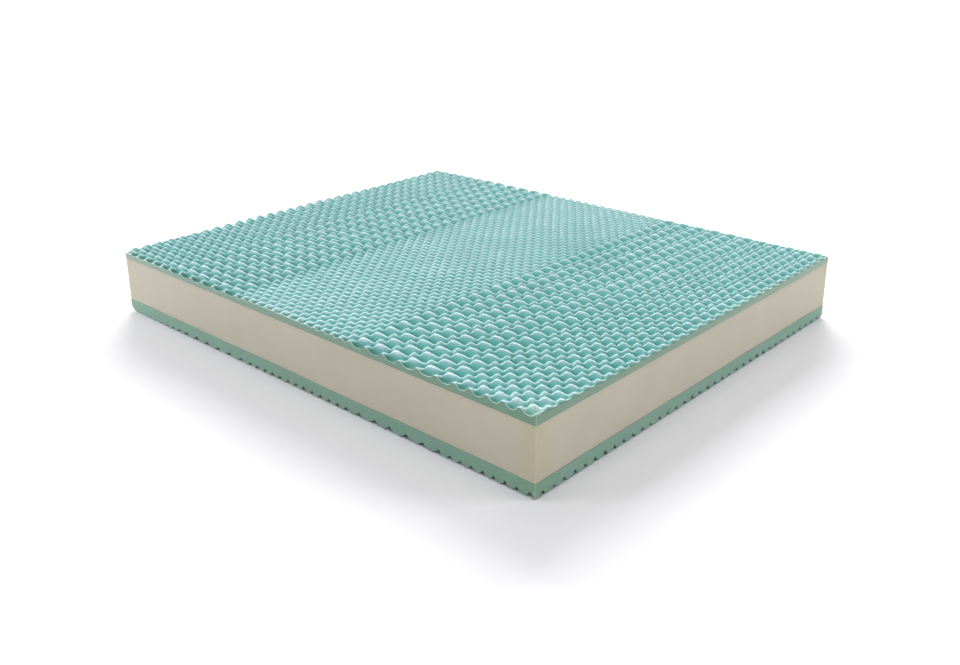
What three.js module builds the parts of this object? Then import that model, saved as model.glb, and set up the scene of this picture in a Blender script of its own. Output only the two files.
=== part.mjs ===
// Pocket spring mattress core with no cover: three foam layers glued into one block.
//   top_foam     convoluted comfort layer, wavy rows of crests in five zones along the length
//   core_foam    plain cut block that closes in the spring unit
//   bottom_foam  base layer, flat above, zoned pads below that stand on the floor
// Millimetres, +Z up. The origin is on the floor under the middle of the block,
// +X runs along the length and +Y across the width.

import * as THREE from 'three';

// ---- driving sizes ---------------------------------------------------------
const LENGTH = 1900;          // along X
const WIDTH = 1600;           // along Y
const GLUE_GAP = 0.3;         // clear line between two layers
const BASE_JOINT = 45.0;      // height of the joint between the base layer and the block
const TOP_JOINT = 202.85;     // height of the joint between the block and the top layer

// top layer, heights above its joint
const CREST = 34.5;           // tips of the crests
const VALLEY = 12.5;          // bottoms of the valleys
const TOP_ROWS = 32;          // rows across the width, crest and valley by turns

// base layer, heights above the floor
const NOTCH_DEPTH = 9.5;      // how far the notches rise into the layer
const BASE_ROWS = 13;         // rows of pads across the width
const BASE_ROW_NOTCH = 24;    // width of the notch between two rows

// Zones of the top layer from -X to +X. One wave is a wide and a narrow half.
const TOP_START = -20.2;      // the first wave begins outside the cut and is trimmed by it
const TOP_ZONES = [
  { zone: 'A', waves: 6, wide: 33.2, narrow: 19.4 },
  { zone: 'B', waves: 6, wide: 46.8, narrow: 19.4 },
  { zone: 'C', waves: 14, wide: 19.4, narrow: 19.4 },
  { zone: 'D', waves: 6, wide: 46.8, narrow: 19.4 },
  { zone: 'E', waves: 5, wide: 33.2, narrow: 19.4 },
];

// Zones of the base layer from -X to +X: pads, the pitch from one pad to the next
// and the width of the notch between them.
const BASE_ZONES = [
  { zone: 'a', pads: 5, pitch: 68.0, notch: 24 },
  { zone: 'b', pads: 3, pitch: 124.0, notch: 30 },
  { zone: 'c', pads: 6, pitch: 85.0, notch: 24 },
  { zone: 'd', pads: 3, pitch: 128.0, notch: 30 },
  { zone: 'e', pads: 4, pitch: 73.5, notch: 24 },
];

// ---- colours ---------------------------------------------------------------
const foam = (color) => new THREE.MeshStandardMaterial({ color, roughness: 0.95, metalness: 0 });
const TEAL = foam(0x8cc5c3);
const CREAM = foam(0xc4bdab);
const GREEN = foam(0x84b49e);

// ---- grid lines ------------------------------------------------------------
// Middle of every half wave of the top layer, and how high it stands there (+1 or -1).
function halfWaves(zones, start) {
  const out = [];
  let from = start;
  for (const { waves, wide, narrow } of zones)
    for (let k = 0; k < waves; k += 1) {
      out.push({ middle: from + wide / 2, width: wide, side: 1 });
      out.push({ middle: from + wide + narrow / 2, width: narrow, side: -1 });
      from += wide + narrow;
    }
  out.push({ middle: from + zones.at(-1).wide / 2, width: zones.at(-1).wide, side: 1 });
  return out;
}

// Grid lines across the waves: both cut sides and each middle that lies between them.
function waveLines(waves, length) {
  const swing = (x) => {
    const w = waves.find(({ middle, width }) => Math.abs(x - middle) <= width / 2);
    return w.side * Math.cos((Math.PI * (x - w.middle)) / w.width);
  };
  const inside = waves.filter(({ middle }) => middle > 5 && middle < length - 5);
  return [
    { x: 0, swing: swing(0) },
    ...inside.map(({ middle, side }) => ({ x: middle, swing: side })),
    { x: length, swing: swing(length) },
  ];
}

// Grid lines of a row of pads: each pad's two edges, and the deepest line of the notch
// between two pads. The row begins and ends with a pad.
function padLines(rows) {
  const out = [];
  let from = 0;
  rows.forEach(({ pitch, notch }, k) => {
    const last = k === rows.length - 1;
    out.push({ at: k === 0 ? from : from + notch / 2, depth: 0 });
    out.push({ at: last ? from + pitch : from + pitch - notch / 2, depth: 0 });
    from += pitch;
    if (!last) out.push({ at: from, depth: 1 });
  });
  return out;
}

// ---- a foam sheet, cut square at its four sides ------------------------------
// xs, ys   grid lines of the relief, the first and the last on the cut sides
// relief   height of the relief face at grid point (i, j)
// flat     height of the flat face behind it
// up       true where the relief looks up
// turned   true where the square (i, j) is split along its other diagonal
function foamSheet({ xs, ys, relief, flat, up, turned }) {
  const nx = xs.length;
  const ny = ys.length;
  const at = (i, j) => j * nx + i;
  const points = ys.flatMap((y, j) => xs.map((x, i) => new THREE.Vector3(x, y, relief(i, j))));
  const triangles = [];
  const face = (a, b, c, outward) => {
    const normal = new THREE.Vector3().crossVectors(
      points[b].clone().sub(points[a]),
      points[c].clone().sub(points[a]),
    );
    triangles.push(normal.dot(outward) > 0 ? [a, b, c] : [a, c, b]);
  };
  const front = new THREE.Vector3(0, 0, up ? 1 : -1);
  for (let j = 0; j + 1 < ny; j += 1)
    for (let i = 0; i + 1 < nx; i += 1) {
      const [a, b, c, d] = [at(i, j), at(i + 1, j), at(i + 1, j + 1), at(i, j + 1)];
      if (turned(i, j)) {
        face(a, b, d, front);
        face(b, c, d, front);
      } else {
        face(a, b, c, front);
        face(a, c, d, front);
      }
    }
  const [x0, x1, y0, y1] = [xs[0], xs.at(-1), ys[0], ys.at(-1)];
  const corner = [[x0, y0], [x1, y0], [x1, y1], [x0, y1]].map(
    ([x, y]) => points.push(new THREE.Vector3(x, y, flat)) - 1,
  );
  const backward = front.clone().negate();
  face(corner[0], corner[1], corner[2], backward);
  face(corner[0], corner[2], corner[3], backward);
  const alongX = [...xs.keys()];
  const alongY = [...ys.keys()];
  const sides = [
    { edge: alongX.map((i) => at(i, 0)), ends: [0, 1], axis: 'x', outward: [0, -1, 0] },
    { edge: alongX.map((i) => at(i, ny - 1)), ends: [3, 2], axis: 'x', outward: [0, 1, 0] },
    { edge: alongY.map((j) => at(0, j)), ends: [0, 3], axis: 'y', outward: [-1, 0, 0] },
    { edge: alongY.map((j) => at(nx - 1, j)), ends: [1, 2], axis: 'y', outward: [1, 0, 0] },
  ];
  for (const { edge, ends, axis, outward } of sides) {
    const loop = [...edge, corner[ends[1]], corner[ends[0]]];
    const outline = loop.map((k) => new THREE.Vector2(points[k][axis], points[k].z));
    const normal = new THREE.Vector3(...outward);
    for (const [a, b, c] of THREE.ShapeUtils.triangulateShape(outline, []))
      face(loop[a], loop[b], loop[c], normal);
  }
  const geometry = new THREE.BufferGeometry();
  geometry.setAttribute(
    'position',
    new THREE.Float32BufferAttribute(points.flatMap((p) => [p.x, p.y, p.z]), 3),
  );
  geometry.setIndex(triangles.flat());
  geometry.computeVertexNormals();
  return geometry;
}

// ---- top layer ---------------------------------------------------------------
function topFoam() {
  const lines = waveLines(halfWaves(TOP_ZONES, TOP_START), LENGTH);
  const middle = (CREST + VALLEY) / 2;
  const swing = (CREST - VALLEY) / 2;
  // at the -Y side the wide halves are low and the narrow ones high
  const turn = (j) => (j % 2 ? 1 : -1);
  const geometry = foamSheet({
    xs: lines.map(({ x }) => x - LENGTH / 2),
    ys: Array.from({ length: TOP_ROWS + 1 }, (_, j) => (j / TOP_ROWS - 0.5) * WIDTH),
    relief: (i, j) => middle + swing * lines[i].swing * turn(j),
    flat: GLUE_GAP / 2,
    up: true,
    // a row's crests join into one wavy ridge, and the next row's valleys into a wavy trough
    turned: (i, j) => (i + (lines[0].swing > 0 ? 0 : 1)) % 2 === 0,
  });
  const mesh = new THREE.Mesh(geometry, TEAL);
  mesh.name = 'top_foam';
  mesh.position.z = TOP_JOINT;
  return mesh;
}

// ---- block -------------------------------------------------------------------
function coreFoam() {
  const height = TOP_JOINT - BASE_JOINT - GLUE_GAP;
  const mesh = new THREE.Mesh(new THREE.BoxGeometry(LENGTH, WIDTH, height), CREAM);
  mesh.name = 'core_foam';
  mesh.position.z = (TOP_JOINT + BASE_JOINT) / 2;
  return mesh;
}

// ---- base layer ----------------------------------------------------------------
function bottomFoam() {
  const columns = padLines(BASE_ZONES.flatMap(({ pads, pitch, notch }) =>
    Array.from({ length: pads }, () => ({ pitch, notch }))));
  const rows = padLines(Array.from({ length: BASE_ROWS },
    () => ({ pitch: WIDTH / BASE_ROWS, notch: BASE_ROW_NOTCH })));
  const geometry = foamSheet({
    xs: columns.map(({ at }) => at - LENGTH / 2),
    ys: rows.map(({ at }) => at - WIDTH / 2),
    relief: (i, j) => NOTCH_DEPTH * Math.max(columns[i].depth, rows[j].depth),
    flat: BASE_JOINT - GLUE_GAP / 2,
    up: false,
    // the corners of the notches are mitred
    turned: (i, j) => columns[i + 1].depth + rows[j].depth === 2
      || columns[i].depth + rows[j + 1].depth === 2,
  });
  const mesh = new THREE.Mesh(geometry, GREEN);
  mesh.name = 'bottom_foam';
  return mesh;
}

const group = new THREE.Group();
group.add(topFoam(), coreFoam(), bottomFoam());

export default group;
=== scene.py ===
"""Looks of an uncovered mattress core: three glued foam layers on a pale studio floor.

The fixed frame gives the three layers' boxes. Each layer is built here as its own fine foam mesh:
the wavy top, the plain block and the base with its small pads.
"""

import math

import bpy
import numpy as np
from mathutils import Matrix, Vector


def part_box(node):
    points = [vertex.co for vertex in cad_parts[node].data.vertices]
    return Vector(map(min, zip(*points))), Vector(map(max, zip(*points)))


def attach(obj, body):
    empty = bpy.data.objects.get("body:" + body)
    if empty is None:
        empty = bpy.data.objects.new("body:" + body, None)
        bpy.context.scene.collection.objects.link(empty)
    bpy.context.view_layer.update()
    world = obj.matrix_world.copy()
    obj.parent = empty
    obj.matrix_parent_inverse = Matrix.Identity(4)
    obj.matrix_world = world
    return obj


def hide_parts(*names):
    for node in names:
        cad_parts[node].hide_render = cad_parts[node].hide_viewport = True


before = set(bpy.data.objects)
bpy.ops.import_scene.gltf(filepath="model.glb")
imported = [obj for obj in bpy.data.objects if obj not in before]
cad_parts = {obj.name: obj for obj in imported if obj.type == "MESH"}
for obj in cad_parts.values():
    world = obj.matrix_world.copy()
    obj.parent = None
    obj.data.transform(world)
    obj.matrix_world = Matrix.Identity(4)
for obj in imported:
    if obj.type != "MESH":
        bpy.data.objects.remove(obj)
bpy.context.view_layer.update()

MM = 0.001

# ------------------------------------------------------------------ sizes
lo_top, hi_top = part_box("top_foam")
lo_core, hi_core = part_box("core_foam")
lo_base, hi_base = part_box("bottom_foam")
LENGTH = (hi_core.x - lo_core.x) / MM
WIDTH = (hi_core.y - lo_core.y) / MM
TOP_JOINT = (lo_top.z + hi_core.z) / 2 / MM
BASE_JOINT = (lo_core.z + hi_base.z) / 2 / MM

# Waves of the top, from -X to +X: how many, and the wide and the narrow half of one, in mm.
TOP_ZONES = [(6, 33.2, 19.4), (6, 46.8, 19.4), (14, 19.4, 19.4), (6, 46.8, 19.4), (5, 33.2, 19.4)]
WAVE_SOFTNESS = 6.8      # how softly one half wave passes into the next
FINE_SOFTNESS = 7.6      # and in the fine middle zone
ROW_PITCH = 50.0         # crest to crest across the width
MID_HEIGHT = 22.5        # above the joint
SWING = 12.0             # crest and valley, from the middle height

# The soft sheet is glued a little unevenly. Where the zones begin and the last one ends, mm from the
# -X side, at seven distances from the -Y side.
ZONE_AT = [0.0, 60.0, 200.0, 500.0, 1000.0, 1300.0, 1600.0]
ZONE_LINES = [
    [-7, 300, 684, 1232, 1639, 1915],
    [-4, 300, 683, 1232, 1639, 1902],
    [0, 290, 675, 1227, 1638, 1902],
    [-7, 284, 672, 1228, 1634, 1902],
    [-5, 286, 676, 1235, 1639, 1904],
    [-3, 295, 681, 1236, 1636, 1904],
    [-6, 302, 694, 1244, 1642, 1900],
]
# Where the first crest of the wide halves lies from the -Y side, mm, over the sheet.
ROW_AT_X = [0.0, 300.0, 500.0, 700.0, 970.0, 1240.0, 1640.0, 1900.0]
ROW_AT_Y = ZONE_AT
ROW_FIRST = [
    [37, 33, 31, 34, 35, 28, 25, 25],
    [35, 29, 30, 38, 40, 33, 28, 30],
    [29, 37, 38, 44, 44, 42, 34, 34],
    [34, 41, 48, 53, 50, 48, 44, 38],
    [35, 48, 56, 60, 54, 49, 46, 36],
    [33, 43, 49, 56, 52, 48, 47, 36],
    [33, 42, 45, 46, 42, 38, 35, 36],
]


def rng_field(seed, count, longest, shortest, amplitude):
    """A smooth field of (x, y) in mm: a sum of sine waves of random heading and length."""
    r = np.random.default_rng(seed)
    heading = r.uniform(0, 2 * np.pi, count)
    length = np.exp(r.uniform(np.log(shortest), np.log(longest), count))
    phase = r.uniform(0, 2 * np.pi, count)
    kx = np.cos(heading) * 2 * np.pi / length
    ky = np.sin(heading) * 2 * np.pi / length
    weight = amplitude * np.sqrt(2.0 / count)

    def field(x, y):
        out = np.zeros(np.broadcast(x, y).shape)
        for a, b, p in zip(kx, ky, phase):
            out += np.sin(a * x + b * y + p)
        return out * weight

    return field


# ------------------------------------------------------------------ mesh builders
def make_object(name, verts, faces, smooth, material):
    mesh = bpy.data.meshes.new(name)
    mesh.from_pydata(verts, [], faces)
    mesh.polygons.foreach_set("use_smooth", smooth)
    mesh.materials.append(material)
    mesh.validate()
    mesh.update()
    obj = bpy.data.objects.new(name, mesh)
    bpy.context.scene.collection.objects.link(obj)
    return obj


def relief_sheet(name, xs, ys, heights, back, material, up=True, normals=None):
    """A closed sheet, mm: a relief over the grid xs, ys, four cut sides and a flat back at height back.
    xs and ys may be 2-D, so that the grid can be uneven inside."""
    ny, nx = heights.shape
    verts = np.stack([xs, ys, heights], -1).reshape(-1, 3)
    grid = np.arange(nx * ny).reshape(ny, nx)
    a, b, c, d = grid[:-1, :-1], grid[:-1, 1:], grid[1:, 1:], grid[1:, :-1]
    quads = np.stack([a, b, c, d] if up else [a, d, c, b], -1).reshape(-1, 4)
    rim = np.concatenate([grid[0, :], grid[1:, -1], grid[-1, -2::-1], grid[-2:0:-1, 0]])
    # the cut sides have their own vertices, so their edge with the relief stays crisp
    n = len(rim)
    first = len(verts)
    side_front = verts[rim]
    side_back = side_front.copy()
    side_back[:, 2] = back
    verts = np.concatenate([verts, side_back])
    k = np.arange(n)
    nxt = (k + 1) % n
    walls = np.stack([rim[k], first + k, first + nxt, rim[nxt]], -1)
    if not up:
        walls = walls[:, ::-1]
    plate = [first + i for i in range(n)]
    if up:
        plate = plate[::-1]
    faces = quads.tolist() + walls.tolist() + [plate]
    smooth = np.ones(len(faces), bool)
    smooth[len(quads):] = False
    obj = make_object(name, (verts * MM).tolist(), faces, smooth, material)
    mesh = obj.data
    # the rim of the relief and the corners of the sides are sharp
    sharp = mesh.attributes.get("sharp_edge") or mesh.attributes.new("sharp_edge", "BOOLEAN", "EDGE")
    ev = np.zeros(len(mesh.edges) * 2, np.int32)
    mesh.edges.foreach_get("vertices", ev)
    ev = ev.reshape(-1, 2)
    on_rim = np.zeros(len(mesh.vertices), bool)
    on_rim[rim] = True
    flags = on_rim[ev[:, 0]] & on_rim[ev[:, 1]]
    sharp.data.foreach_set("value", flags)
    mesh.update()
    if normals is not None:
        # the exact slopes of the waves, instead of the mean of the facets
        flat = np.zeros(len(mesh.loops) * 3, np.float32)
        corner = np.zeros(len(mesh.loops), np.int32)
        mesh.loops.foreach_get("vertex_index", corner)
        mesh.corner_normals.foreach_get("vector", flat)
        flat = flat.reshape(-1, 3)
        exact = normals.reshape(-1, 3)
        count = len(quads) * 4
        flat[:count] = exact[corner[:count]]
        mesh.normals_split_custom_set(flat.tolist())
    return obj


# ------------------------------------------------------------------ top layer
def grid_value(xs, ys, table, X, Y):
    """The table's value at X, Y, straight between its points."""
    xs, ys, table = np.asarray(xs, float), np.asarray(ys, float), np.asarray(table, float)
    X, Y = np.clip(X, xs[0], xs[-1]), np.clip(Y, ys[0], ys[-1])
    i = np.clip(np.searchsorted(xs, X) - 1, 0, len(xs) - 2)
    j = np.clip(np.searchsorted(ys, Y) - 1, 0, len(ys) - 2)
    a = (X - xs[i]) / (xs[i + 1] - xs[i])
    b = (Y - ys[j]) / (ys[j + 1] - ys[j])
    return ((table[j, i] * (1 - a) + table[j, i + 1] * a) * (1 - b)
            + (table[j + 1, i] * (1 - a) + table[j + 1, i + 1] * a) * b)


def even_zones():
    """Zone starts and the edges of the half waves in the even pattern, mm."""
    starts, edges = [0.0], [0.0]
    for waves, wide, narrow in TOP_ZONES:
        for _ in range(waves):
            edges += [edges[-1] + wide, edges[-1] + wide + narrow]
        starts.append(edges[-1])
    return np.array(starts), np.array(edges + [edges[-1] + TOP_ZONES[-1][1]])


EVEN_STARTS, EVEN_EDGES = even_zones()


def zone_lines(V):
    return [np.interp(V, ZONE_AT, [row[k] for row in ZONE_LINES]) for k in range(len(EVEN_STARTS))]


def to_even(U, V):
    """Place along X in the even pattern."""
    lines = zone_lines(V)
    last = len(lines) - 2
    out = np.zeros(np.shape(U))
    for k in range(last + 1):
        t = (U - lines[k]) / (lines[k + 1] - lines[k])
        inside = (t >= 0) & (t < 1)
        if k == 0:
            inside = t < 1
        if k == last:
            inside = t >= 0
        out = np.where(inside, EVEN_STARTS[k] + t * (EVEN_STARTS[k + 1] - EVEN_STARTS[k]), out)
    return out


def swing_table():
    """+1 on the wide halves, -1 on the narrow ones, softened where they meet."""
    fine = np.arange(-80.0, LENGTH + 120.0, 0.5)
    side = np.where(np.searchsorted(EVEN_EDGES, fine) % 2 == 1, 1.0, -1.0)
    reach = np.arange(-60, 61) * 0.5

    def softened(softness):
        bell = np.exp(-0.5 * (reach / softness) ** 2)
        return np.convolve(side, bell / bell.sum(), "same")

    def peak(softness):
        return math.erf(19.4 / 2 / (softness * math.sqrt(2)))

    # the short halves still reach the full height
    coarse, middle = softened(WAVE_SOFTNESS), softened(FINE_SOFTNESS)
    coarse = np.where(coarse < 0, coarse / peak(WAVE_SOFTNESS), coarse)
    part = np.clip((fine - EVEN_STARTS[2]) / 20.0, 0, 1) * np.clip((EVEN_STARTS[3] - fine) / 20.0, 0, 1)
    return fine, np.clip(coarse * (1 - part) + middle * part, -1.0, 1.0)


SWING_AT, SWING_OF = swing_table()
wander = rng_field(11, 24, 900, 160, 0.9)
wander_x = rng_field(14, 24, 900, 160, 0.8)
strength = rng_field(12, 24, 700, 90, 0.05)
lift = rng_field(13, 24, 1200, 200, 0.4)


def top_height(U, V):
    swing = np.interp(to_even(U - wander_x(U, V), V), SWING_AT, SWING_OF)
    first = grid_value(ROW_AT_X, ROW_AT_Y, ROW_FIRST, U, V) + wander(U, V)
    # the +X side is cut where the halves meet, so its edge is almost straight
    near_cut = np.clip(1 - (LENGTH - U) / 15.0, 0, 1)
    swing = swing + (0.1 - swing) * near_cut * np.clip(V / 30.0, 0, 1)
    shoulder = 4.0 * (1 - np.sqrt(1 - np.clip(1 - (LENGTH - U) / 8.0, 0, 1) ** 2)) * np.clip(V / 12.0, 0, 1)
    raised = 4.5 * np.clip((U - 1650) / 250, 0, 1) * np.clip(1 - V / 250, 0, 1)
    raised = raised + 3.0 * np.clip((U - 1150) / 600, 0, 1) * np.clip(1 - V / 130, 0, 1) - shoulder
    swing = swing * (1 + 0.12 * np.clip(1 - V / 60, 0, 1) * np.clip((U - 700) / 400, 0, 1))
    swing = swing * (1 - 0.15 * np.clip(1 - V / 28, 0, 1) * np.clip((800 - U) / 500, 0, 1))
    swing = swing * (1 - 0.35 * np.clip((V - WIDTH + 30) / 30, 0, 1))
    # the -Y side is cut lower, so that a low lip closes its hollows
    lip = np.clip(1 - V / 13.0, 0, 1)
    swing = swing * (1 - 0.45 * lip)
    raised = raised - (2.0 + 3.0 * np.clip((800 - U) / 500, 0, 1)) * lip
    # the fine zone stands a little higher, and the -X side is worn lower
    lines = zone_lines(V)
    raised = raised + 1.5 * np.clip((U - lines[2]) / 40, 0, 1) * np.clip((lines[3] - U) / 40, 0, 1)
    pressed = 2.5 * np.clip(1 - U / 90.0, 0, 1) * np.clip((V - 500) / 600.0, 0, 1)
    worn = 1 - 0.1 * np.clip(1 - U / 45.0, 0, 1)
    wave = swing * np.cos(2 * np.pi * (V - first) / ROW_PITCH)
    return TOP_JOINT + MID_HEIGHT + lift(U, V) + raised - pressed + SWING * worn * (1 + strength(U, V)) * wave


def top_lines():
    """Mesh lines over the sheet. They follow its waves, so a line runs along every crest."""
    mid = WIDTH / 2
    starts = np.array([line for line in zone_lines(mid)])
    even = []
    for k, (waves, wide, narrow) in enumerate(TOP_ZONES + [(1, 33.2, 19.4)]):
        at = EVEN_STARTS[k] if k < len(EVEN_STARTS) else EVEN_STARTS[-1]
        for _ in range(waves):
            parts = {33.2: (0, 5, 11, 22.2, 28.2), 46.8: (0, 5, 11, 23.4, 35.8, 41.8), 19.4: (0, 5, 9.7, 14.4)}
            even += [at + p for p in parts[wide]]
            even += [at + wide + p for p in (0, 5, 9.7, 14.4)]
            at += wide + narrow
    even = np.array(sorted(set(np.round(even, 3))))
    us = np.interp(even, EVEN_STARTS, starts)
    us = np.where(even > EVEN_STARTS[-1], starts[-1] + even - EVEN_STARTS[-1], us)
    us = us[(us > 3) & (us < LENGTH - 3)]
    crest = np.arange(-75.0, WIDTH + 75.0, ROW_PITCH / 2)
    rows = np.sort(np.concatenate([crest, crest + 6.0, crest + 15.5, crest + 21.2]))
    first = np.interp(rows, ROW_AT_Y, np.mean(ROW_FIRST, axis=1))
    vs = rows + first - 25.0
    vs = vs[(vs > 3) & (vs < WIDTH - 3)]
    us = np.concatenate([[0.0], us, [LENGTH]])
    vs = np.concatenate([[0.0], vs, [WIDTH]])
    U, V = np.meshgrid(us, vs)
    hold = np.clip(np.minimum(V, WIDTH - V) / 60.0, 0, 1)
    dv = grid_value(ROW_AT_X, ROW_AT_Y, ROW_FIRST, U, V) - np.interp(V, ROW_AT_Y, np.mean(ROW_FIRST, axis=1))
    V = V + hold * dv
    hold = np.clip(np.minimum(U, LENGTH - U) / 60.0, 0, 1)
    here, middle = zone_lines(V), zone_lines(mid)
    shift = np.zeros(U.shape)
    knots = np.array(middle)
    offsets = np.stack([h - m for h, m in zip(here, middle)], -1)
    k = np.clip(np.searchsorted(knots, U) - 1, 0, len(knots) - 2)
    t = np.clip((U - knots[k]) / (knots[k + 1] - knots[k]), 0, 1)
    pick = np.take_along_axis
    shift = (pick(offsets, k[..., None], -1)[..., 0] * (1 - t) + pick(offsets, k[..., None] + 1, -1)[..., 0] * t)
    return U + hold * shift, V


def build_top(material):
    U, V = top_lines()
    Z = top_height(U, V)
    step = 0.6
    slope_x = (top_height(U + step, V) - top_height(U - step, V)) / (2 * step)
    slope_y = (top_height(U, V + step) - top_height(U, V - step)) / (2 * step)
    normals = np.stack([-slope_x, -slope_y, np.ones(Z.shape)], -1)
    normals /= np.linalg.norm(normals, axis=-1, keepdims=True)
    sheet = relief_sheet("top_foam_sheet", U - LENGTH / 2, V - WIDTH / 2, Z, TOP_JOINT + 0.15, material, normals=normals)
    # how near each point is to the line of a crest, for a painted highlight along it
    reach = 2.0
    bend_x = (top_height(U + reach, V) + top_height(U - reach, V) - 2 * Z) / reach ** 2
    bend_y = (top_height(U, V + reach) + top_height(U, V - reach) - 2 * Z) / reach ** 2
    twist = (top_height(U + reach, V + reach) + top_height(U - reach, V - reach)
             - top_height(U + reach, V - reach) - top_height(U - reach, V + reach)) / (4 * reach ** 2)
    middle, spread = (bend_x + bend_y) / 2, np.hypot((bend_x - bend_y) / 2, twist)
    turn = 0.5 * np.arctan2(twist, (bend_x - bend_y) / 2) + np.pi / 2
    sharpness = np.maximum(-(middle - spread), 1e-6)
    off = np.abs(slope_x * np.cos(turn) + slope_y * np.sin(turn)) / sharpness
    # the painted highlight is strongest where a crest runs from -X -Y to +X +Y, as the crests that catch the back
    # light do
    runs = np.clip((np.abs(np.sin(turn) - np.cos(turn)) / math.sqrt(2) - 0.35) / 0.4, 0, 1)
    crest = np.clip(sharpness / 0.08, 0, 1) * np.exp(-(off / 2.6) ** 2) * runs
    paint = np.zeros(len(sheet.data.vertices), np.float32)
    paint[:crest.size] = crest.ravel()
    sheet.data.attributes.new("crest", "FLOAT", "POINT").data.foreach_set("value", paint)
    # painted shade: the hollows that open on the -Y side are painted the deepest green
    hollow_shade_mask = np.clip(1 - V / 26.0, 0, 1) * np.clip((TOP_JOINT + 27.0 - Z) / 8.0, 0, 1)
    paint[:hollow_shade_mask.size] = hollow_shade_mask.ravel()
    sheet.data.attributes.new("hollow_shade", "FLOAT", "POINT").data.foreach_set("value", paint)
    return sheet


# ------------------------------------------------------------------ base layer
# Grooves of the base, mm: runs of even ones from the first to the last place, how many steps.
BASE_RUNS_X = [(-22, 314, 9), (358, 678, 5), (727, 1194.5, 12), (1251, 1571, 5), (1610, 1881, 7), (1919, 1919, 0)]
BASE_RUNS_Y = [(-14, 1646, 38)]
BASE_GROOVE = 15.5       # depth of a groove


def groove_places(runs, rng):
    out = []
    for first, last, steps in runs:
        out += list(np.linspace(first, last, steps + 1))
    out = np.array(out)
    return out + rng.uniform(-1.5, 1.5, len(out))


def pad_lines(grooves, steps, length):
    """Mesh lines: each groove and a few places on each pad."""
    lines = []
    for a, b in zip(grooves[:-1], grooves[1:]):
        lines += list(a + (b - a) * np.arange(steps) / steps)
    lines = np.array([x for x in lines + [grooves[-1]] if 2.0 < x < length - 2.0])
    return np.concatenate([[0.0], lines, [length]])


def pad_height(x, grooves, power):
    """0 in the grooves, 1 on the middle of the rounded pads between them."""
    i = np.clip(np.searchsorted(grooves, x) - 1, 0, len(grooves) - 2)
    t = np.clip((x - grooves[i]) / (grooves[i + 1] - grooves[i]), 0, 1)
    return np.sin(np.pi * t) ** power


def build_base(material):
    jitter = np.random.default_rng(41)
    across = groove_places(BASE_RUNS_X, jitter)
    along = groove_places(BASE_RUNS_Y, jitter)
    us, vs = pad_lines(across, 7, LENGTH), pad_lines(along, 6, WIDTH)
    U, V = np.meshgrid(us, vs)
    wave = pad_height(us, across, 0.75)[None, :] * pad_height(vs, along, 0.6)[:, None]
    depth = BASE_GROOVE * (1 + rng_field(42, 20, 400, 60, 0.08)(U, V))
    # the pads run out towards the -X end of the -Y side
    depth = depth * (1 - 0.8 * np.clip((330 - U) / 200, 0, 1) * np.clip(1 - V / 90, 0, 1))
    Z = depth * (1 - wave)
    # worn corners
    Z += 17.0 * np.clip(1 - U / 26, 0, 1) ** 1.5 * np.clip(1 - V / 70, 0, 1)
    Z += 7.0 * np.exp(-((U - 1888) / 5.5) ** 2 - (V / 14) ** 2)
    Z = np.clip(Z, 0.0, 26.0)
    return relief_sheet("base_foam_sheet", U - LENGTH / 2, V - WIDTH / 2, Z, BASE_JOINT - 0.15, material, up=False)


# ------------------------------------------------------------------ block
def build_block(material):
    """The block as a closed box of fine sides with small rounded corners."""
    z0, z1 = lo_core.z / MM, hi_core.z / MM
    radius = 2.0
    turn = [0.0, 0.3, 0.7, 1.0]
    outline = []
    hx, hy = LENGTH / 2, WIDTH / 2
    corners = [(hx - radius, -hy + radius, -90), (hx - radius, hy - radius, 0),
               (-hx + radius, hy - radius, 90), (-hx + radius, -hy + radius, 180)]
    for k, (cx, cy, start) in enumerate(corners):
        for t in turn:
            a = math.radians(start + 90 * t)
            outline.append((cx + radius * math.cos(a), cy + radius * math.sin(a)))
        nx_, ny_, s2 = corners[(k + 1) % 4]
        a = math.radians(start + 90)
        p = np.array([cx + radius * math.cos(a), cy + radius * math.sin(a)])
        b = math.radians(s2)
        q = np.array([nx_ + radius * math.cos(b), ny_ + radius * math.sin(b)])
        span = np.linalg.norm(q - p)
        steps = int(span // 40)
        for d in [1.5, 5.0] + [span * i / steps for i in range(1, steps)] + [span - 5.0, span - 1.5]:
            outline.append(tuple(p + (q - p) * d / span))
    outline = np.array(outline)
    levels = np.array([0, 1.0, 20, 50, 80, 110, 138, (z1 - z0) - 1.0, (z1 - z0)])
    wobble = rng_field(31, 16, 900, 220, 0.35)
    verts = []
    normal = outline / np.linalg.norm(outline, axis=1)[:, None]
    for h in levels:
        inset = 0.6 if h in (levels[0], levels[-1]) else 0.0
        along = outline[:, 0] + outline[:, 1] * 1.7
        bulge = wobble(along, np.full(len(outline), h * 3.0)) - 0.5
        # the sides wander a little, the upright corners stay straight
        far = np.maximum(hx - np.abs(outline[:, 0]), hy - np.abs(outline[:, 1]))
        bulge = bulge * np.clip((far - 5.0) / 120.0, 0, 1) - inset
        push = np.zeros_like(outline)
        for axis, half in ((0, hx), (1, hy)):
            on = half - np.abs(outline[:, axis]) < radius * 0.999
            push[on, axis] = np.sign(outline[on, axis])
        ring = outline + push * bulge[:, None]
        verts += [(x, y, z0 + h) for x, y in ring]
    n = len(outline)
    faces = []
    for level in range(len(levels) - 1):
        for i in range(n):
            j = (i + 1) % n
            faces.append([level * n + i, level * n + j, (level + 1) * n + j, (level + 1) * n + i])
    faces.append(list(range(n))[::-1])
    faces.append([(len(levels) - 1) * n + i for i in range(n)])
    smooth = np.ones(len(faces), bool)
    smooth[-2:] = False
    return make_object("core_block", (np.array(verts) * MM).tolist(), faces, smooth, material)


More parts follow.
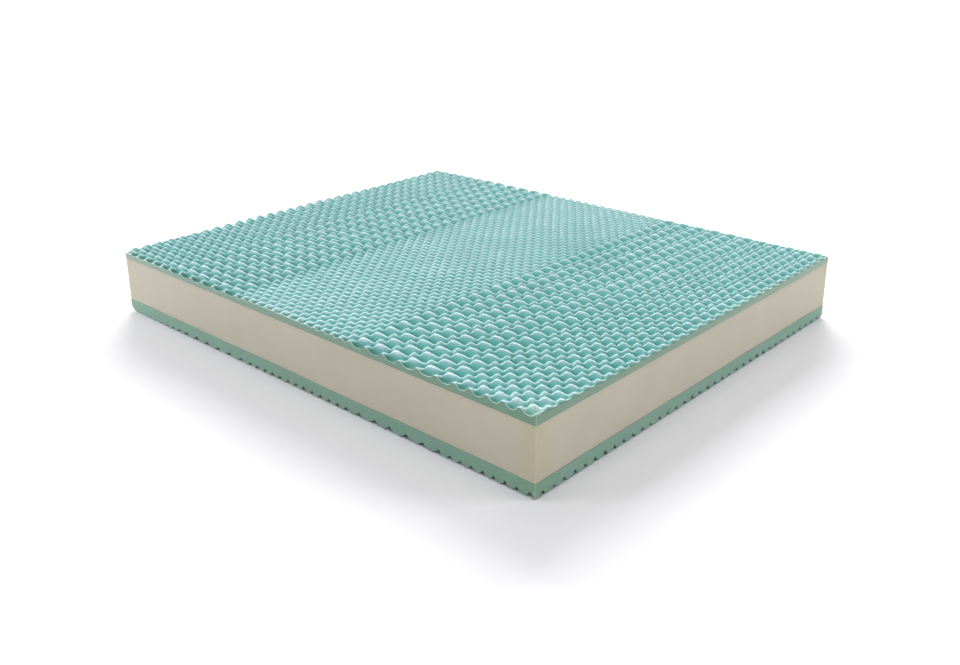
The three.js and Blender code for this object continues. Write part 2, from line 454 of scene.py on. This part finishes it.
# ------------------------------------------------------------------ materials
def new_material(name):
    m = bpy.data.materials.new(name)
    m.use_nodes = True
    nt = m.node_tree
    nt.nodes.clear()
    out = nt.nodes.new("ShaderNodeOutputMaterial")
    bsdf = nt.nodes.new("ShaderNodeBsdfPrincipled")
    nt.links.new(bsdf.outputs["BSDF"], out.inputs["Surface"])
    return m, nt, bsdf


def foam_material(name, dark, base, light, cell=900.0, bump=0.25, cloud=6.0, sheen=0.3,
                  corner_highlight_colour=(0.75, 0.72, 0.60)):
    """Open-cell foam: fine pores, a slow cloudiness of the colour, matt."""
    m, nt, bsdf = new_material(name)
    N, L = nt.nodes.new, nt.links.new
    pos = N("ShaderNodeTexCoord")
    clouds = N("ShaderNodeTexNoise")
    clouds.inputs["Scale"].default_value = cloud
    clouds.inputs["Detail"].default_value = 4
    clouds.inputs["Roughness"].default_value = 0.6
    L(pos.outputs["Object"], clouds.inputs["Vector"])
    grain = N("ShaderNodeTexNoise")
    grain.inputs["Scale"].default_value = cell
    grain.inputs["Detail"].default_value = 2
    L(pos.outputs["Object"], grain.inputs["Vector"])
    pores = N("ShaderNodeTexVoronoi")
    pores.inputs["Scale"].default_value = cell * 0.45
    L(pos.outputs["Object"], pores.inputs["Vector"])
    ramp = N("ShaderNodeValToRGB")
    e = ramp.color_ramp.elements
    e[0].position, e[0].color = 0.3, (*dark, 1)
    e[1].position, e[1].color = 0.7, (*light, 1)
    mid = e.new(0.5)
    mid.color = (*base, 1)
    mix = N("ShaderNodeMix")
    mix.data_type = "FLOAT"
    mix.inputs["Factor"].default_value = 0.35
    L(clouds.outputs["Fac"], mix.inputs["A"])
    L(grain.outputs["Fac"], mix.inputs["B"])
    L(mix.outputs["Result"], ramp.inputs["Fac"])
    # painted highlight: the upright corner edges are painted a little paler
    split = N("ShaderNodeSeparateXYZ")
    L(pos.outputs["Object"], split.inputs["Vector"])
    gaps = []
    for axis, half in (("X", LENGTH / 2), ("Y", WIDTH / 2)):
        size = N("ShaderNodeMath")
        size.operation = "ABSOLUTE"
        L(split.outputs[axis], size.inputs[0])
        gap = N("ShaderNodeMath")
        gap.operation = "SUBTRACT"
        gap.inputs[0].default_value = half * MM
        L(size.outputs["Value"], gap.inputs[1])
        gaps.append(gap)
    far = N("ShaderNodeMath")
    far.operation = "MAXIMUM"
    L(gaps[0].outputs["Value"], far.inputs[0])
    L(gaps[1].outputs["Value"], far.inputs[1])
    corner_highlight_mask = N("ShaderNodeMapRange")
    corner_highlight_mask.inputs["From Min"].default_value = 0.0012
    corner_highlight_mask.inputs["From Max"].default_value = 0.0040
    corner_highlight_mask.inputs["To Min"].default_value = 0.45
    corner_highlight_mask.inputs["To Max"].default_value = 0.0
    L(far.outputs["Value"], corner_highlight_mask.inputs["Value"])
    # within 10 cm of the upright corners the colour is a little darker and warmer
    corner_warmth = N("ShaderNodeMapRange")
    corner_warmth.inputs["From Min"].default_value = 0.004
    corner_warmth.inputs["From Max"].default_value = 0.100
    corner_warmth.inputs["To Min"].default_value = 0.6
    corner_warmth.inputs["To Max"].default_value = 0.0
    L(far.outputs["Value"], corner_warmth.inputs["Value"])
    warmer = N("ShaderNodeMix")
    warmer.data_type = "RGBA"
    warmer.blend_type = "MULTIPLY"
    warmer.inputs["B"].default_value = (0.95, 0.92, 0.76, 1)
    L(corner_warmth.outputs["Result"], warmer.inputs["Factor"])
    L(ramp.outputs["Color"], warmer.inputs["A"])
    corner_highlight_mix = N("ShaderNodeMix")
    corner_highlight_mix.data_type = "RGBA"
    corner_highlight_mix.inputs["B"].default_value = (*corner_highlight_colour, 1)
    L(corner_highlight_mask.outputs["Result"], corner_highlight_mix.inputs["Factor"])
    L(warmer.outputs["Result"], corner_highlight_mix.inputs["A"])
    L(corner_highlight_mix.outputs["Result"], bsdf.inputs["Base Color"])
    rough = N("ShaderNodeMapRange")
    rough.inputs["To Min"].default_value = 0.85
    rough.inputs["To Max"].default_value = 1.0
    L(grain.outputs["Fac"], rough.inputs["Value"])
    L(rough.outputs["Result"], bsdf.inputs["Roughness"])
    bump_a = N("ShaderNodeBump")
    bump_a.inputs["Strength"].default_value = bump
    bump_a.inputs["Distance"].default_value = 0.0006
    L(pores.outputs["Distance"], bump_a.inputs["Height"])
    bump_b = N("ShaderNodeBump")
    bump_b.inputs["Strength"].default_value = bump * 0.8
    bump_b.inputs["Distance"].default_value = 0.0008
    L(grain.outputs["Fac"], bump_b.inputs["Height"])
    L(bump_a.outputs["Normal"], bump_b.inputs["Normal"])
    L(bump_b.outputs["Normal"], bsdf.inputs["Normal"])
    bsdf.inputs["Specular IOR Level"].default_value = 0.15
    bsdf.inputs["Sheen Weight"].default_value = sheen
    bsdf.inputs["Coat Weight"].default_value = sheen * 0.25
    bsdf.inputs["Coat Roughness"].default_value = 0.6
    bsdf.inputs["Sheen Roughness"].default_value = 0.5
    return m


def srgb(r, g, b):
    out = []
    for v in (r, g, b):
        v /= 255.0
        out.append(v / 12.92 if v <= 0.04045 else ((v + 0.055) / 1.055) ** 2.4)
    return tuple(out)


def height_colour(material, bottom, top_, stops, cut):
    """Painted light and shade: the crests of the sheet are painted paler than its valleys by height, with painted
    highlights along the crest lines and the long cut edges and painted shade in the hollows of the -Y side; its
    cut sides have a tone of their own.
    """
    nt = material.node_tree
    N, L = nt.nodes.new, nt.links.new
    bsdf = next(n for n in nt.nodes if n.type == "BSDF_PRINCIPLED")
    clouds = bsdf.inputs["Base Color"].links[0].from_socket
    pos = N("ShaderNodeTexCoord")
    split = N("ShaderNodeSeparateXYZ")
    L(pos.outputs["Object"], split.inputs["Vector"])
    level = N("ShaderNodeMapRange")
    level.inputs["From Min"].default_value = bottom * MM
    level.inputs["From Max"].default_value = top_ * MM
    L(split.outputs["Z"], level.inputs["Value"])
    ramp = N("ShaderNodeValToRGB")
    ramp.name = "height_ramp"
    e = ramp.color_ramp.elements
    e[0].position, e[0].color = stops[0][0], (*stops[0][1], 1)
    e[1].position, e[1].color = stops[-1][0], (*stops[-1][1], 1)
    for at, colour in stops[1:-1]:
        e.new(at).color = (*colour, 1)
    L(level.outputs["Result"], ramp.inputs["Fac"])
    geo = N("ShaderNodeNewGeometry")
    tilt = N("ShaderNodeSeparateXYZ")
    L(geo.outputs["True Normal"], tilt.inputs["Vector"])
    is_top = N("ShaderNodeMapRange")
    is_top.inputs["From Min"].default_value = 0.05
    is_top.inputs["From Max"].default_value = 0.2
    L(tilt.outputs["Z"], is_top.inputs["Value"])
    pick = N("ShaderNodeMix")
    pick.name = "cut_colour"
    pick.data_type = "RGBA"
    pick.inputs["A"].default_value = (*cut, 1)
    # the shoulder of the +X side has the colour of the cut
    inside = N("ShaderNodeMapRange")
    inside.inputs["From Min"].default_value = (LENGTH / 2 - 6.0) * MM
    inside.inputs["From Max"].default_value = (LENGTH / 2 - 3.0) * MM
    inside.inputs["To Min"].default_value = 1.0
    inside.inputs["To Max"].default_value = 0.0
    L(split.outputs["X"], inside.inputs["Value"])
    both = N("ShaderNodeMath")
    both.operation = "MULTIPLY"
    L(is_top.outputs["Result"], both.inputs[0])
    L(inside.outputs["Result"], both.inputs[1])
    L(both.outputs["Value"], pick.inputs["Factor"])
    # painted highlight: a pale strip along the long cut edges, where the rim catches the light
    size = N("ShaderNodeMath")
    size.operation = "ABSOLUTE"
    L(split.outputs["Y"], size.inputs[0])
    rim_highlight_mask = N("ShaderNodeMapRange")
    rim_highlight_mask.inputs["From Min"].default_value = (WIDTH / 2 - 3.2) * MM
    rim_highlight_mask.inputs["From Max"].default_value = (WIDTH / 2 - 1.4) * MM
    rim_highlight_mask.inputs["To Max"].default_value = 0.85
    L(size.outputs["Value"], rim_highlight_mask.inputs["Value"])
    # painted highlight: a pale blue along the crest lines, from the crest attribute
    line = N("ShaderNodeAttribute")
    line.attribute_name = "crest"
    highlight_share = N("ShaderNodeMath")
    highlight_share.name = "crest_highlight_share"
    highlight_share.operation = "MULTIPLY"
    highlight_share.inputs[1].default_value = 0.8
    L(line.outputs["Fac"], highlight_share.inputs[0])
    crest_highlight_mix = N("ShaderNodeMix")
    crest_highlight_mix.name = "painted_crest_highlight"
    crest_highlight_mix.data_type = "RGBA"
    crest_highlight_mix.inputs["B"].default_value = (0.74, 0.88, 0.94, 1)
    L(highlight_share.outputs["Value"], crest_highlight_mix.inputs["Factor"])
    # painted shade: the hollows on the -Y side are mixed towards a dark green
    hollow_shade_mask = N("ShaderNodeAttribute")
    hollow_shade_mask.attribute_name = "hollow_shade"
    hollow_shade = N("ShaderNodeMix")
    hollow_shade.data_type = "RGBA"
    hollow_shade.inputs["B"].default_value = (0.015, 0.22, 0.145, 1)
    L(hollow_shade_mask.outputs["Fac"], hollow_shade.inputs["Factor"])
    L(ramp.outputs["Color"], hollow_shade.inputs["A"])
    L(hollow_shade.outputs["Result"], crest_highlight_mix.inputs["A"])
    rim_highlight = N("ShaderNodeMix")
    rim_highlight.data_type = "RGBA"
    rim_highlight.inputs["B"].default_value = (0.66, 0.80, 0.78, 1)
    L(rim_highlight_mask.outputs["Result"], rim_highlight.inputs["Factor"])
    L(crest_highlight_mix.outputs["Result"], rim_highlight.inputs["A"])
    L(rim_highlight.outputs["Result"], pick.inputs["B"])
    blend = N("ShaderNodeMix")
    blend.data_type = "RGBA"
    blend.blend_type = "MULTIPLY"
    blend.inputs["Factor"].default_value = 1.0
    L(pick.outputs["Result"], blend.inputs["A"])
    L(clouds, blend.inputs["B"])
    L(blend.outputs["Result"], bsdf.inputs["Base Color"])


def groove_painted_shade(material, low, high, dark):
    """Painted shade: the grooves under the base are painted darker than its pads where they face down; the cut
    sides keep their tone.
    """
    nt = material.node_tree
    N, L = nt.nodes.new, nt.links.new
    bsdf = next(n for n in nt.nodes if n.type == "BSDF_PRINCIPLED")
    plain = bsdf.inputs["Base Color"].links[0].from_socket
    pos = N("ShaderNodeTexCoord")
    split = N("ShaderNodeSeparateXYZ")
    L(pos.outputs["Object"], split.inputs["Vector"])
    level = N("ShaderNodeMapRange")
    level.inputs["From Min"].default_value = low * MM
    level.inputs["From Max"].default_value = high * MM
    L(split.outputs["Z"], level.inputs["Value"])
    geo = N("ShaderNodeNewGeometry")
    tilt = N("ShaderNodeSeparateXYZ")
    L(geo.outputs["True Normal"], tilt.inputs["Vector"])
    underside_shade_mask = N("ShaderNodeMapRange")
    underside_shade_mask.inputs["From Min"].default_value = -0.12
    underside_shade_mask.inputs["From Max"].default_value = -0.3
    L(tilt.outputs["Z"], underside_shade_mask.inputs["Value"])
    both = N("ShaderNodeMath")
    both.operation = "MULTIPLY"
    L(level.outputs["Result"], both.inputs[0])
    L(underside_shade_mask.outputs["Result"], both.inputs[1])
    mix = N("ShaderNodeMix")
    mix.data_type = "RGBA"
    mix.inputs["B"].default_value = (*dark, 1)
    L(both.outputs["Value"], mix.inputs["Factor"])
    L(plain, mix.inputs["A"])
    L(mix.outputs["Result"], bsdf.inputs["Base Color"])


teal = foam_material("teal_foam", (0.9, 0.91, 0.92), (0.96, 0.96, 0.96), (1.0, 1.0, 1.0), sheen=1.0, corner_highlight_colour=(2.0, 1.9, 1.8))
# painted shade low in the valleys and painted light up on the crests
height_colour(teal, TOP_JOINT + 10.0, TOP_JOINT + 34.5, [
    (0.0, (0.035, 0.325, 0.245)),
    (0.25, (0.065, 0.385, 0.335)),
    (0.5, (0.14, 0.49, 0.465)),
    (0.8, (0.29, 0.60, 0.61)),
    (1.0, (0.50, 0.72, 0.77)),
], cut=(0.112, 0.25, 0.162))
cream = foam_material("cream_foam", (0.465, 0.43, 0.34), (0.492, 0.454, 0.362), (0.52, 0.48, 0.384), bump=0.2, corner_highlight_colour=(0.66, 0.63, 0.50))
green = foam_material("green_foam", (0.18, 0.325, 0.245), (0.195, 0.347, 0.265), (0.21, 0.37, 0.285), corner_highlight_colour=(0.34, 0.50, 0.34))
# painted shade in the grooves under the base
groove_painted_shade(green, 3.0, 8.5, (0.015, 0.055, 0.04))

top = build_top(teal)
block = build_block(cream)
base = build_base(green)

for piece, node, slot in ((top, "top_foam", "teal_foam"), (block, "core_foam", "cream_foam"), (base, "bottom_foam", "green_foam")):
    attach(piece, "root")
    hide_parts(node)


# ------------------------------------------------------------------ studio
def build_floor():
    m, nt, bsdf = new_material("floor_paper")
    N, L = nt.nodes.new, nt.links.new
    pos = N("ShaderNodeTexCoord")
    noise = N("ShaderNodeTexNoise")
    noise.inputs["Scale"].default_value = 3.0
    L(pos.outputs["Object"], noise.inputs["Vector"])
    ramp = N("ShaderNodeValToRGB")
    ramp.color_ramp.elements[0].color = (0.885, 0.88, 0.91, 1)
    ramp.color_ramp.elements[1].color = (0.905, 0.90, 0.93, 1)
    L(noise.outputs["Fac"], ramp.inputs["Fac"])
    L(ramp.outputs["Color"], bsdf.inputs["Base Color"])
    bsdf.inputs["Roughness"].default_value = 0.9
    bsdf.inputs["Specular IOR Level"].default_value = 0.1
    s = 40.0
    mesh = bpy.data.meshes.new("studio_floor")
    mesh.from_pydata([(-s, -s, 0), (s, -s, 0), (s, s, 0), (-s, s, 0)], [], [(0, 1, 2, 3)])
    mesh.materials.append(m)
    floor = bpy.data.objects.new("studio_floor", mesh)
    bpy.context.scene.collection.objects.link(floor)
    return floor


def soft_sun(name, azimuth_deg, elevation_deg, strength, spread_deg, colour=(1.0, 1.0, 1.0)):
    """A far, broad lamp: it comes from this azimuth and height and lights the whole floor evenly."""
    light = bpy.data.lights.new(name, "SUN")
    light.energy = strength * math.pi
    light.angle = math.radians(spread_deg)
    light.color = colour
    obj = bpy.data.objects.new(name, light)
    a, e = math.radians(azimuth_deg), math.radians(elevation_deg)
    towards = Vector((math.cos(a) * math.cos(e), math.sin(a) * math.cos(e), math.sin(e)))
    obj.rotation_euler = (-towards).to_track_quat("-Z", "Y").to_euler()
    bpy.context.scene.collection.objects.link(obj)
    return obj


def build_backdrop():
    """A plain white wall far away all round, which gives no light and no shadow."""
    material = bpy.data.materials.new("backdrop_white")
    material.use_nodes = True
    nt = material.node_tree
    nt.nodes.clear()
    glow = nt.nodes.new("ShaderNodeEmission")
    glow.inputs["Color"].default_value = (1, 1, 1, 1)
    out = nt.nodes.new("ShaderNodeOutputMaterial")
    nt.links.new(glow.outputs["Emission"], out.inputs["Surface"])
    n, r = 64, 39.0
    verts = [(r * math.cos(2 * math.pi * i / n), r * math.sin(2 * math.pi * i / n), z) for z in (-0.5, 45.0) for i in range(n)]
    mesh = bpy.data.meshes.new("studio_backdrop")
    mesh.from_pydata(verts, [], [(i, i + n, (i + 1) % n + n, (i + 1) % n) for i in range(n)])
    mesh.materials.append(material)
    wall = bpy.data.objects.new("studio_backdrop", mesh)
    bpy.context.scene.collection.objects.link(wall)
    for kind in ("diffuse", "glossy", "transmission", "volume_scatter", "shadow"):
        setattr(wall, "visible_" + kind, False)


build_floor()
build_backdrop()
world = bpy.data.worlds.new("studio") if not bpy.context.scene.world else bpy.context.scene.world
bpy.context.scene.world = world
world.use_nodes = True
bg = world.node_tree.nodes["Background"]
bg.inputs["Color"].default_value = (0.98, 0.99, 1.0, 1)
bg.inputs["Strength"].default_value = 0.08

def soft_panel(name, place, aim, size, power, colour):
    """A broad panel beside the object, out of the picture."""
    light = bpy.data.lights.new(name, "AREA")
    light.shape = "RECTANGLE"
    light.size, light.size_y = size
    light.energy = power
    light.color = colour
    obj = bpy.data.objects.new(name, light)
    obj.location = Vector(place)
    obj.rotation_euler = (Vector(aim) - Vector(place)).to_track_quat("-Z", "Y").to_euler()
    obj.visible_camera = False
    bpy.context.scene.collection.objects.link(obj)
    return obj


soft_sun("rim_left", 119, 23, 0.475, 20)
soft_sun("rim_right", 147, 23, 0.475, 20)
soft_sun("back_key", 133, 30, 0.38, 24)
soft_sun("back_high", 133, 55, 0.10, 26)
soft_sun("overhead", 313, 78, 0.32, 50)
soft_sun("back_left", 178, 35, 0.10, 24, (0.95, 0.98, 1.0))
soft_sun("right_fill", 43, 15, 0.25, 24, (1.0, 0.98, 0.96))
soft_sun("right_high", 43, 35, 0.10, 24)
soft_sun("left_fill", 223, 35, 0.20, 24, (0.97, 0.99, 1.0))
soft_sun("front_left_fill", 270, 25, 0.13, 24, (1.0, 0.98, 0.94))
soft_panel("back_panel", (-2.4, 2.6, 1.4), (-0.3, 0.3, 0.2), (2.0, 1.0), 26.0, (1.0, 1.0, 1.0))
soft_panel("left_card", (-3.0, -2.2, 0.16), (0.0, -0.8, 0.12), (1.6, 0.3), 34.0, (0.86, 0.91, 1.0))
soft_panel("right_card", (3.5, 1.2, 0.20), (0.95, 0.3, 0.12), (1.6, 0.4), 15.0, (0.90, 0.93, 1.0))

# ------------------------------------------------------------------ camera
cam_data = bpy.data.cameras.new("camera")
cam = bpy.data.objects.new("camera", cam_data)
bpy.context.scene.collection.objects.link(cam)
azimuth, drop, roll = math.radians(132.879), math.radians(19.108), math.radians(-0.472)
forward = Vector((math.cos(azimuth) * math.cos(drop), math.sin(azimuth) * math.cos(drop), -math.sin(drop)))
right0 = forward.cross(Vector((0, 0, 1))).normalized()
up0 = right0.cross(forward)
right = right0 * math.cos(roll) + up0 * math.sin(roll)
up = up0 * math.cos(roll) - right0 * math.sin(roll)
rotation = Matrix((right, up, -forward)).transposed().to_4x4()
cam.matrix_world = Matrix.Translation(Vector((2.302975, -2.478036, 1.15669 + 0.20285))) @ rotation
cam_data.sensor_width = 36.0
cam_data.lens = 1010.97 / 960 * 36.0
cam_data.shift_x = (480 - 471.64) / 960
cam_data.shift_y = (264.096 - 332.5) / 960
cam_data.clip_end = 200
bpy.context.scene.camera = cam

bpy.context.scene.view_settings.view_transform = "Standard"
bpy.context.scene.view_settings.look = "None"
